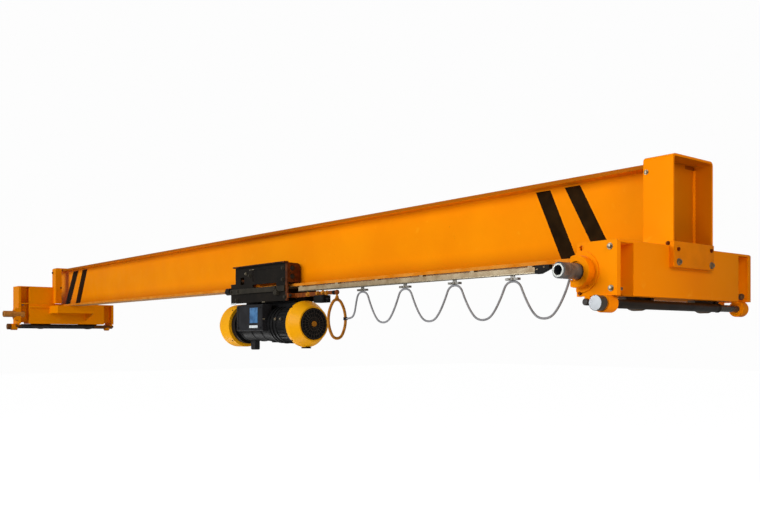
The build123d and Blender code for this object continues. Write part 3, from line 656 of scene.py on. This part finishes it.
def softened(node, width_mm):
    """A merged copy of a node with its sharp edges rounded, in the node's place."""
    bm = bmesh.new()
    bm.from_mesh(nodes[node].data)
    bmesh.ops.remove_doubles(bm, verts=bm.verts, dist=MERGE)
    bmesh.ops.dissolve_limit(
        bm, angle_limit=math.radians(FLAT_DEG), verts=bm.verts, edges=bm.edges,
        delimit={"NORMAL"},
    )
    bmesh.ops.bevel(
        bm, geom=sharper_than(bm.edges, SHARP_DEG), offset=width_mm * MM,
        offset_type="OFFSET", affect="EDGES", segments=2, profile=0.5, material=-1,
        clamp_overlap=True,
    )
    piece = settle(
        bm, f"{node}_plate", finish_of(node), body_of_node[node], 50
    )
    piece.modifiers.new("even_normals", "WEIGHTED_NORMAL").keep_sharp = True
    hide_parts(node)


for node, width_mm in EDGE_WIDTHS.items():
    softened(node, width_mm)


# Fasteners and welds

def hex_bolt(bm, spot_mm, out, size_mm):
    """Hex head on a washer, with chamfered corners; size is half the width over corners."""
    spot = Vector(spot_mm)
    sunk = size_mm * -0.01
    bar(bm, spot + Vector(out) * sunk, out, size_mm * 0.3, size_mm * 1.4, size_mm * 1.3, 20)
    on_washer = spot + Vector(out) * size_mm * 0.28
    head = bar(bm, on_washer, out, size_mm * 0.8, size_mm, sides=6)
    rounded(bm, end_face(head, out).edges, size_mm * 0.16)


def cap_screw(bm, spot_mm, out, size_mm):
    """Round head with a sunk socket."""
    foot = Vector(spot_mm) + Vector(out) * size_mm * -0.01
    head = bar(bm, foot, out, size_mm * 0.9, size_mm, size_mm * 0.92, 18)
    dished(bm, end_face(head, out), size_mm * 0.38, size_mm * 0.5, out)


def bolt_set(name, make, finish, body, spots, size_mm, out):
    """One piece that holds a set of like fasteners on one face."""
    bm = bmesh.new()
    for spot in spots:
        make(bm, spot, out, size_mm)
    settle_new(bm, name, finish, body, 30)


WELD_STEP_MM = 9.0
WELD_SWELL = 1.22


def weld_bead(bm, start_mm, end_mm, radius_mm):
    """A weld: a ridge of overlapping ripples from start to end."""
    start = Vector(start_mm) * MM
    along = Vector(end_mm) * MM - start
    count = max(2, round(along.length / (WELD_STEP_MM * MM)))
    ring = bmesh.ops.create_circle(
        bm, cap_ends=True, segments=10, radius=radius_mm * MM * 0.75,
        matrix=seated(start_mm, along),
    )
    face = ring["verts"][0].link_faces[0]
    for ripple in range(1, count + 1):
        grown = bmesh.ops.extrude_discrete_faces(bm, faces=[face])
        face = grown["faces"][0]
        bmesh.ops.translate(bm, verts=face.verts, vec=along / count)
        swell = WELD_SWELL if ripple % 2 else 1 / WELD_SWELL
        bmesh.ops.scale(
            bm, verts=face.verts, vec=(swell, swell, swell),
            space=Matrix.Translation(-(start + along * ripple / count)),
        )


# Near carriage: bolts, welds and the sleeves on both carriages' rods

FAR_X = -7500
NEAR_FACE_Y = -518
HOOD_FACE_Y = -156
LIP_FACE_X = 120
REAR_PLATE_Y = 506
LONG_BOLT_X = 69
LONG_BOLT_Z = 28
LONG_NUT_Y = -476

bolt_set(
    "near_end_plate_bolts", hex_bolt, "bolt_steel", "crane",
    [(64.5, NEAR_FACE_Y, 193.5), (LONG_BOLT_X, NEAR_FACE_Y, LONG_BOLT_Z)], 9.5, FRONT,
)
bolt_set(
    "near_end_plate_low_bolt", hex_bolt, "rusty_bolt", "crane",
    [(-80, NEAR_FACE_Y, 14)], 7, FRONT,
)
bolt_set(
    "near_hood_bolt", hex_bolt, "bolt_steel", "crane",
    [(-13, HOOD_FACE_Y, 539)], 8, FRONT,
)
bolt_set(
    "near_hood_foot_bolt", hex_bolt, "rusty_bolt", "crane",
    [(91, HOOD_FACE_Y, 228)], 7, FRONT,
)
bolt_set(
    "lip_plate_bolts", hex_bolt, "bolt_steel", "crane",
    [(LIP_FACE_X, -122, 150), (LIP_FACE_X, 134, 148)], 11, NEAR,
)
bolt_set(
    "lip_plate_upper_bolts", cap_screw, "rusty_bolt", "crane",
    [(LIP_FACE_X, -127, 203), (LIP_FACE_X, 130, 212)], 8, NEAR,
)
bolt_set(
    "near_front_nut", hex_bolt, "bolt_steel", "crane",
    [(LONG_BOLT_X, LONG_NUT_Y, LONG_BOLT_Z)], 11, BACK,
)
bolt_set(
    "near_rear_nut", hex_bolt, "bolt_steel", "crane",
    [(58, REAR_PLATE_Y, 26)], 11, FRONT,
)


def long_bolt_shank():
    """Bare shank of the long lower bolt, from the front end plate through its nut."""
    bm = bmesh.new()
    bar(bm, (LONG_BOLT_X, -507, LONG_BOLT_Z), BACK, 58, 7)
    settle_new(bm, "near_front_shank", "bolt_steel", "crane")


def hood_welds():
    """Fillet welds up the near recess's rear corner and along the feet of both hoods."""
    bm = bmesh.new()
    weld_bead(bm, (31, 142, 226), (31, 142, 574), 9)
    settle_new(bm, "hood_recess_weld", "orange_enamel", "crane", 60)
    bm = bmesh.new()
    for left, right in ((-26, 112), (FAR_X + 62, FAR_X + 96)):
        weld_bead(bm, (left, -153, 219), (right, -153, 219), 4)
    settle_new(bm, "hood_foot_welds", "orange_enamel", "crane", 60)


def carriage_welds():
    """Runs of weld up the corners of each carriage's wheel box."""
    bm = bmesh.new()
    for x in (5, FAR_X - 5):
        for y in (-409, 409):
            weld_bead(bm, (x, y, 18), (x, y, 206), 5)
    settle_new(bm, "carriage_bay_welds", "orange_enamel", "crane", 60)


# Middle lines of the rods under each carriage: (distance from its middle along X, Z)
RODS = ((50, -31), (-46, -23))
# Stretches of a sleeve along Y: (radius, from, to)
SLEEVE = ((19, -478, 300), (21, 300, 310))


def rod_sleeves():
    """Dark spacer tubes on the rods under the carriages, each with a ring at its rear end."""
    bm = bmesh.new()
    for x, z in RODS:
        for middle, side in ((0, 1), (FAR_X, -1)):
            for radius, low, high in SLEEVE:
                tube = bar(
                    bm, (middle + side * x, low, z), BACK, high - low, radius, sides=32
                )
                rounded(bm, sharper_than(edges_of(tube), 60), 1.5)
    settle_new(bm, "rod_sleeves", "dark_bar", "crane", 30)


long_bolt_shank()
hood_welds()
carriage_welds()
rod_sleeves()


# Far carriage and hood

bolt_set(
    "far_hood_bolts", hex_bolt, "rusty_bolt", "crane",
    [(FAR_X + 84, HOOD_FACE_Y, 553), (FAR_X + 80, HOOD_FACE_Y, 293)], 10, FRONT,
)
bolt_set(
    "far_return_bolt", hex_bolt, "rusty_bolt", "crane",
    [(FAR_X + 165, -96, 389)], 7, NEAR,
)
plate_piece(
    "far_seam_bar", "orange_enamel", "crane",
    (FAR_X + 95, -408, 171), (FAR_X + 110, -190, 190), 2,
)
bolt_set(
    "far_bay_bolt", hex_bolt, "bolt_steel", "crane",
    [(FAR_X + 5, -450, 208)], 12, NEAR,
)


# Trolley

CHEEK_FACE_Y = -122
TAG_BACK_Y = -121.5
BAR_FACE_Y = -136
GUARD_FACE_X = -2845

bolt_set(
    "cheek_bolts", hex_bolt, "bolt_steel", "trolley",
    [(-3391, CHEEK_FACE_Y, 307)], 9, FRONT,
)
bolt_set(
    "cheek_dark_bolts", hex_bolt, "bar_enamel", "trolley",
    [
        (-2897, CHEEK_FACE_Y, 319), (-3335, CHEEK_FACE_Y, 290), (-2897, CHEEK_FACE_Y, 240),
        (-3520, CHEEK_FACE_Y, 120), (-2870, CHEEK_FACE_Y, 120),
    ], 12, FRONT,
)
bolt_set(
    "guard_bolts", hex_bolt, "bar_enamel", "trolley",
    [(GUARD_FACE_X, -79, 318), (GUARD_FACE_X, -79, 260)], 13, NEAR,
)
bolt_set(
    "front_bar_bolts", hex_bolt, "bar_enamel", "trolley",
    [(-3578, BAR_FACE_Y, 181), (-3480, BAR_FACE_Y, 181), (-2973, BAR_FACE_Y, 188)], 9, FRONT,
)
plate_piece(
    "cheek_clip", "bolt_steel", "trolley",
    (-3342, -126, 328), (-3276, TAG_BACK_Y, 334),
)
plate_piece(
    "cheek_foot_tag", "white_plate", "trolley",
    (-3608, -124, 86), (-3534, TAG_BACK_Y, 97), 0.8,
)
plate_piece(
    "cheek_foot_clip", "bolt_steel", "trolley",
    (-3164, -127, 90), (-3128, TAG_BACK_Y, 98), 0.8,
)


def bar_boss():
    """Round pivot boss below the right end of the front bar."""
    bm = bmesh.new()
    cup = bar(bm, (-2968, -121, 158), FRONT, 24, 26, 23, 28)
    dished(bm, end_face(cup, FRONT), 7, 6, FRONT)
    settle_new(bm, "front_bar_boss", "bar_enamel", "trolley")


bar_boss()


# Hoist

HOIST_Z = -66
HOIST_AXIS = (0, HOIST_Z)
FIN_COUNT = 30
# Fins whose direction's upward part is larger than this stand under the hanger
FIN_TOP = 0.90


def motor_rings():
    """Flanged joints of the motor housing."""
    bm = bmesh.new()
    for x, width, outer in ((-3034, 12, 135), (-2990, 10, 133), (-2872, 14, 138)):
        band(bm, x, width, 120, outer, (2, 2), HOIST_AXIS)
    settle_new(bm, "motor_flange_rings", "hoist_enamel", "trolley", 30)


def motor_fins():
    """Cooling fins along the motor, left out under the hanger."""
    bm = bmesh.new()
    for k in range(FIN_COUNT):
        angle = math.tau * k / FIN_COUNT
        if math.cos(angle) > FIN_TOP:
            continue
        fin = bmesh.ops.create_cube(bm, size=1, matrix=(
            Matrix.Translation((0, 0, HOIST_Z * MM)) @ Matrix.Rotation(angle, 4, "X")
            @ Matrix.Translation((-2928 * MM, 0, 129 * MM))
            @ Matrix.Diagonal((100 * MM, 3.2 * MM, 9 * MM, 1))
        ))
        rounded(bm, edges_of(fin), 0.8, 1)
    settle_new(bm, "motor_fins", "hoist_enamel", "trolley", 30)


def drum_ribs():
    """Low cast ribs round the drum housing, left of the motor."""
    bm = bmesh.new()
    for x in (-3220, -3345, -3500):
        band(bm, x, 12, 108, 120, (3, 2.5), HOIST_AXIS)
    settle_new(bm, "drum_ribs", "hoist_enamel", "trolley", 30)


def hoist_saddles():
    """Cast saddles that carry the motor and the drum under the frame."""
    bm = bmesh.new()
    for left, right, low in ((-3225, -2862, 44), (-3470, -3330, 34)):
        slab(bm, (left, -46, low), (right, 46, 97), 5)
        slab(bm, (left - 10, -62, 86), (right + 8, 62, 99), 2.5)
    settle_new(bm, "hoist_saddles", "hoist_enamel", "trolley")


hoist_saddles()
motor_rings()
motor_fins()
drum_ribs()
bolt_set(
    "motor_bolts", hex_bolt, "bolt_steel", "trolley",
    [(-2984, -130, -31), (-2922, -127, -31)], 8, FRONT,
)
bolt_set(
    "control_box_end_screw", cap_screw, "bolt_steel", "trolley",
    [(-3098, -153, -28)], 7, NEAR,
)

BOX_FACE_Y = -161.5
PLATE_FACE_Y = -164
RIM_FACE_Y = -165
plate_piece(
    "control_box_blue_plate", "blue_plate", "trolley",
    (-3270, PLATE_FACE_Y, -54), (-3163, BOX_FACE_Y, 54), 0.9,
)
plate_piece(
    "control_box_white_strip", "white_plate", "trolley",
    (-3276, PLATE_FACE_Y, -90), (-3163, BOX_FACE_Y, -71), 0.8,
)
# Bars of the cover's rim: (left, low, right, high)
RIM_BARS = (
    (-3440, 66, -3102, 72), (-3440, -106, -3102, -100),
    (-3110, -100, -3104, 66), (-3440, -100, -3434, 66),
)


def control_box_cover():
    """Raised rim of the control box's cover and its four screws."""
    bm = bmesh.new()
    for left, low, right, high in RIM_BARS:
        slab(bm, (left, RIM_FACE_Y, low), (right, BOX_FACE_Y, high), 0.9)
    settle_new(bm, "control_box_rim", "charcoal_enamel", "trolley")
    bolt_set(
        "control_box_screws", cap_screw, "hoist_enamel", "trolley",
        [(x, BOX_FACE_Y, z) for x in (-3424, -3122) for z in (-88, 54)], 5, FRONT,
    )


control_box_cover()

GRILLE_FACE_X = -2701
SPOKE_COUNT = 24
SPOKE_R = 1.6
SPOKE_L = 78
SPOKE_MIDDLE = 63
WIRE_HALF = 1.5


def fan_guard():
    """Fan guard: wire spokes and rings over the slotted disc, and a cover on its hub."""
    bm = bmesh.new()
    for k in range(SPOKE_COUNT):
        bmesh.ops.create_cone(
            bm, cap_ends=True, segments=8, radius1=SPOKE_R * MM, radius2=SPOKE_R * MM,
            depth=SPOKE_L * MM,
            matrix=(
                Matrix.Translation((GRILLE_FACE_X * MM, 0, HOIST_Z * MM))
                @ Matrix.Rotation(math.tau * k / SPOKE_COUNT, 4, "X")
                @ Matrix.Translation((1.4 * MM, 0, SPOKE_MIDDLE * MM))
            ),
        )
    for r in (46, 74, 99):
        back, face = GRILLE_FACE_X, GRILLE_FACE_X + 2 * WIRE_HALF
        turned(bm, [
            (back, r - WIRE_HALF), (face, r - WIRE_HALF), (face, r + WIRE_HALF),
            (back, r + WIRE_HALF),
        ], HOIST_AXIS, 64)
    settle_new(bm, "fan_guard_wires", "spoke_wire", "trolley", 50)
    bm = bmesh.new()
    hub = bar(bm, (GRILLE_FACE_X - 0.5, 0, HOIST_Z), NEAR, 9, 20, 17, 32)
    dished(bm, end_face(hub, NEAR), 5, 2, NEAR)
    settle_new(bm, "fan_hub_cover", "worn_brown_paint", "trolley")


fan_guard()


def cap_screws():
    """Screws that hold the two covers, set in their bevels' inner edges."""
    bm = bmesh.new()
    for k in range(4):
        angle = math.radians(45 + 90 * k)
        out = Vector((0, math.sin(angle), math.cos(angle)))
        for x in (-2797, -3600):
            cap_screw(bm, Vector((x, 0, HOIST_Z)) + out * 158.5, out, 5)
    settle_new(bm, "cover_screws", "bar_enamel", "trolley", 30)


cap_screws()


# Towing arm, junction box and hoop

ARM_FACE_Y = -68
bolt_set(
    "arm_bolts", hex_bolt, "worn_brown_paint", "trolley",
    [
        (-2674, ARM_FACE_Y, 130), (-2558, ARM_FACE_Y, 133), (-2501, ARM_FACE_Y, 135),
        (-2457, ARM_FACE_Y, 131),
    ], 12, FRONT,
)
bolt_set(
    "arm_foot_bolts", hex_bolt, "bar_enamel", "trolley",
    [(-2833, -104, 129), (-2833, -36, 129)], 9, NEAR,
)


def arm_end_nut():
    """Dark lock nut at the tip of the arm, beside the ball."""
    bm = bmesh.new()
    nut = bar(bm, (-2397, -60, 131), NEAR, 26, 16, sides=6)
    rounded(bm, edges_of(nut), 2.5)
    settle_new(bm, "arm_end_nut", "moulded_black", "trolley", 50)


def junction_lid():
    """Lid, its screws and the cable gland of the junction box."""
    bm = bmesh.new()
    slab(bm, (-2572, -94, 73), (-2469, -89.5, 115), 1.5)
    for x in (-2564, -2477):
        for z in (80, 108):
            cap_screw(bm, (x, -93.5, z), FRONT, 3.5)
    bar(bm, (-2467, -60, 92), NEAR, 24, 13, 9, 20)
    settle_new(bm, "junction_box_lid", "moulded_black", "trolley")


HOOP_STEM = (-2358, -60)


def hoop_collar():
    """Forged neck where the hoop's two sides run into its stem."""
    x, y = HOOP_STEM
    bm = bmesh.new()
    neck = bar(bm, (x, y, 85), (0, 0, 1), 26, 15, 8.5)
    bmesh.ops.scale(
        bm, verts=[v for v in neck["verts"] if v.co.z < 90 * MM], vec=(0.65, 1.25, 1),
        space=Matrix.Translation((-x * MM, -y * MM, 0)),
    )
    rounded(bm, sharper_than(edges_of(neck), 50), 3, 3)
    settle_new(bm, "hoop_neck", "worn_brown_paint", "trolley", 50)


arm_end_nut()
junction_lid()
hoop_collar()


# Rail and carriers

RAIL_LEFT = -2780
RAIL_RIGHT = -700
RAIL_Y = -60
RAIL_LOW = 154
LIP_HALF = 1.2


def rail_lips():
    """The rail's bright turned-in lips, rubbed clean by the carriers."""
    bm = bmesh.new()
    for y in (-73.5, -48.5):
        slab(
            bm, (RAIL_LEFT, y - LIP_HALF, RAIL_LOW - LIP_HALF),
            (RAIL_RIGHT, y + LIP_HALF, RAIL_LOW + 5), 0.5,
        )
    settle_new(bm, "rail_lips", "bolt_steel", "crane")


rail_lips()
bolt_set(
    "rail_stop_screws", cap_screw, "bolt_steel", "crane",
    [(-682, -74, 172), (-640, -74, 181)], 5, FRONT,
)

CARRIER_X = (-2.092, -1.690, -1.278, -0.856)
for letter, x in zip("abcd", CARRIER_X):
    bolt_set(
        f"carrier_{letter}_screws", cap_screw, "bolt_steel", f"carrier_{letter}",
        [(x / MM + across, RAIL_Y - 12, 134) for across in (-11, 11)], 4, FRONT,
    )


# Festoon cable, in metres

CARRIER_HALF = 0.042
CABLE_D = 0.012
CABLE_Y = -0.060
SEAT_Z = 0.122
ANCHOR_X = -0.488
ANCHOR_TOP = 0.166
CABLE_START = (-2.348, 0.008, -0.037)
# Points of a loop's half: (share of the way between two carriers, height from the seat)
BAY_DROPS = ((0.10, -0.072), (0.245, -0.150), (0.39, -0.192))


def cable_route():
    """The cable's points, from the hoop clamp over the carriers to the anchor clip."""
    points = [
        CABLE_START, (-2.292, 0.008, -0.037), (-2.232, -0.014, -0.006), (-2.180, -0.042, 0.062),
    ]
    stops = (*CARRIER_X, ANCHOR_X + CARRIER_HALF)
    for here, there in zip(stops, stops[1:]):
        left = here + CARRIER_HALF
        width = there - CARRIER_HALF - left
        points.append((here - CARRIER_HALF, CABLE_Y, SEAT_Z))
        points.append((left, CABLE_Y, SEAT_Z))
        for share, drop in BAY_DROPS:
            points.append((left + share * width, CABLE_Y, SEAT_Z + drop))
        for share, drop in reversed(BAY_DROPS):
            points.append((left + (1 - share) * width, CABLE_Y, SEAT_Z + drop))
    points.append((ANCHOR_X, CABLE_Y, SEAT_Z + 0.010))
    points.append((ANCHOR_X, CABLE_Y, ANCHOR_TOP))
    return points


def festoon():
    """A round grey cable in smooth loops."""
    curve = bpy.data.curves.new("festoon_line", "CURVE")
    curve.dimensions = "3D"
    spline = curve.splines.new("NURBS")
    route = cable_route()
    spline.points.add(len(route) - 1)
    for point, spot in zip(spline.points, route):
        point.co = (*spot, 1.0)
    spline.order_u = 3
    spline.use_endpoint_u = True
    spline.resolution_u = 8
    holder = bpy.data.objects.new("festoon_line", curve)
    bpy.context.scene.collection.objects.link(holder)
    line = bpy.data.meshes.new_from_object(holder)
    curve.bevel_depth = CABLE_D / 2
    curve.bevel_resolution = 3
    curve.use_fill_caps = True
    bpy.context.view_layer.update()
    tube = bpy.data.meshes.new_from_object(holder)
    bpy.data.objects.remove(holder)
    cable = bpy.data.objects.new("festoon_cable_sheath", tube)
    bpy.context.scene.collection.objects.link(cable)
    tube.shade_smooth()
    tube.materials.clear()
    tube.materials.append(finishes["cable_sheath"])
    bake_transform(cable)
    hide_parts("festoon_cable")


festoon()


# Floor, light and camera

def stand(name, data, spot, ahead):
    """Puts a light or camera at a spot, looking ahead."""
    holder = bpy.data.objects.new(name, data)
    holder.location = spot
    holder.rotation_mode = "QUATERNION"
    holder.rotation_quaternion = ahead.to_track_quat("-Z", "Y")
    bpy.context.scene.collection.objects.link(holder)
    return holder


def floor():
    """A wide pale floor well below the crane. It throws no light up at the crane, so that
    undersides stay as dark as in a tall hall."""
    bm = bmesh.new()
    bmesh.ops.create_grid(bm, x_segments=1, y_segments=1, size=FLOOR_HALF)
    bmesh.ops.translate(bm, verts=bm.verts, vec=(0, 0, FLOOR_LEVEL))
    mesh = bpy.data.meshes.new("floor")
    bm.to_mesh(mesh)
    bm.free()
    material, tree = new_material("pale_floor")
    surface(tree, {
        "Base Color": linear("9a9a9a"), "Roughness": 0.9, "Specular IOR Level": 0.0,
        "Emission Color": linear("ffffff"), "Emission Strength": 0.90,
    })
    mesh.materials.append(material)
    ground = bpy.data.objects.new("floor", mesh)
    bpy.context.scene.collection.objects.link(ground)
    ground.visible_diffuse = False
    ground.visible_glossy = False


def softbox(name, spot, aim, size, power, tint):
    """A soft light at spot that faces aim and doesn't show itself; a pair of sizes
    makes it a strip."""
    lamp = bpy.data.lights.new(name, "AREA")
    lamp.energy = power
    lamp.color = linear(tint)[:3]
    if isinstance(size, tuple):
        lamp.shape = "RECTANGLE"
        lamp.size, lamp.size_y = size
    else:
        lamp.size = size
    stand(name, lamp, spot, Vector(aim) - Vector(spot)).visible_camera = False


WHITE = "ffffff"
WARM = "ffe0bc"
SKY_LIGHT = 0.30
GROUND_LIGHT = 0.24
# Each light: name, spot, aim, size in metres, power in watts, tint
LIGHTS = (
    # The main light on the viewed side
    ("front_softbox", (-5.0, -9.6, 3.5), (-3.4, 0, 0.2), 6.0, 690, WHITE),
    # Lifts the near end's front faces
    ("near_softbox", (-1.7, -4.0, 0.8), (-0.5, 0, 0.35), 1.5, 33, WHITE),
    # Light the near end's face from above and below, with a shadow under the lip plate
    ("end_softbox", (1.25, -0.95, 0.85), (0.1, -0.1, 0.15), 0.5, 11, WARM),
    ("end_low_softbox", (0.75, -0.65, -0.95), (0.1, -0.2, 0.15), 0.7, 8, WARM),
    # Lights the side away from the camera
    ("rear_softbox", (-5.2, 8.8, 3.0), (-3.8, 0, 0.2), 6.0, 420, WHITE),
    # Lights the undersides along the girder
    ("floor_strip", (-3.6, -0.35, -1.5), (-3.6, -0.1, 0.2), (5.6, 0.6), 26, WHITE),
)


def studio():
    """White surroundings that light a little more from above than from below, and the
    soft lights."""
    world = bpy.data.worlds.new("studio")
    world.use_nodes = True
    tree = world.node_tree
    tree.nodes.clear()
    height = parts_of(tree, add(tree, "ShaderNodeTexCoord").outputs["Generated"])["Z"]
    strength = add(
        tree, "ShaderNodeMapRange",
        {"From Min": -0.25, "From Max": 0.35, "To Min": GROUND_LIGHT, "To Max": SKY_LIGHT},
        {"Value": height},
    ).outputs["Result"]
    lit = add(tree, "ShaderNodeBackground", {"Color": linear(WHITE)}, {"Strength": strength})
    seen = add(tree, "ShaderNodeBackground", {"Color": linear("fdfdfd"), "Strength": 1.0})
    both = add(tree, "ShaderNodeMixShader", None, {
        0: add(tree, "ShaderNodeLightPath").outputs["Is Camera Ray"],
        1: lit.outputs[0], 2: seen.outputs[0],
    })
    add(tree, "ShaderNodeOutputWorld", None, {"Surface": both.outputs[0]})
    bpy.context.scene.world = world
    for light in LIGHTS:
        softbox(*light)


def camera():
    """The photo's view: level, with the frame shifted up to take the crane in."""
    lens = bpy.data.cameras.new("camera")
    lens.lens = LENS_MM
    lens.sensor_width = SENSOR_MM
    lens.shift_y = SHIFT_UP
    lens.clip_start = 0.05
    lens.clip_end = 200
    ahead = Vector((-math.cos(CAMERA_TURN), math.sin(CAMERA_TURN), 0))
    bpy.context.scene.camera = stand("camera", lens, CAMERA_PLACE, ahead)


floor()
studio()
camera()
bpy.context.scene.view_settings.view_transform = "Standard"
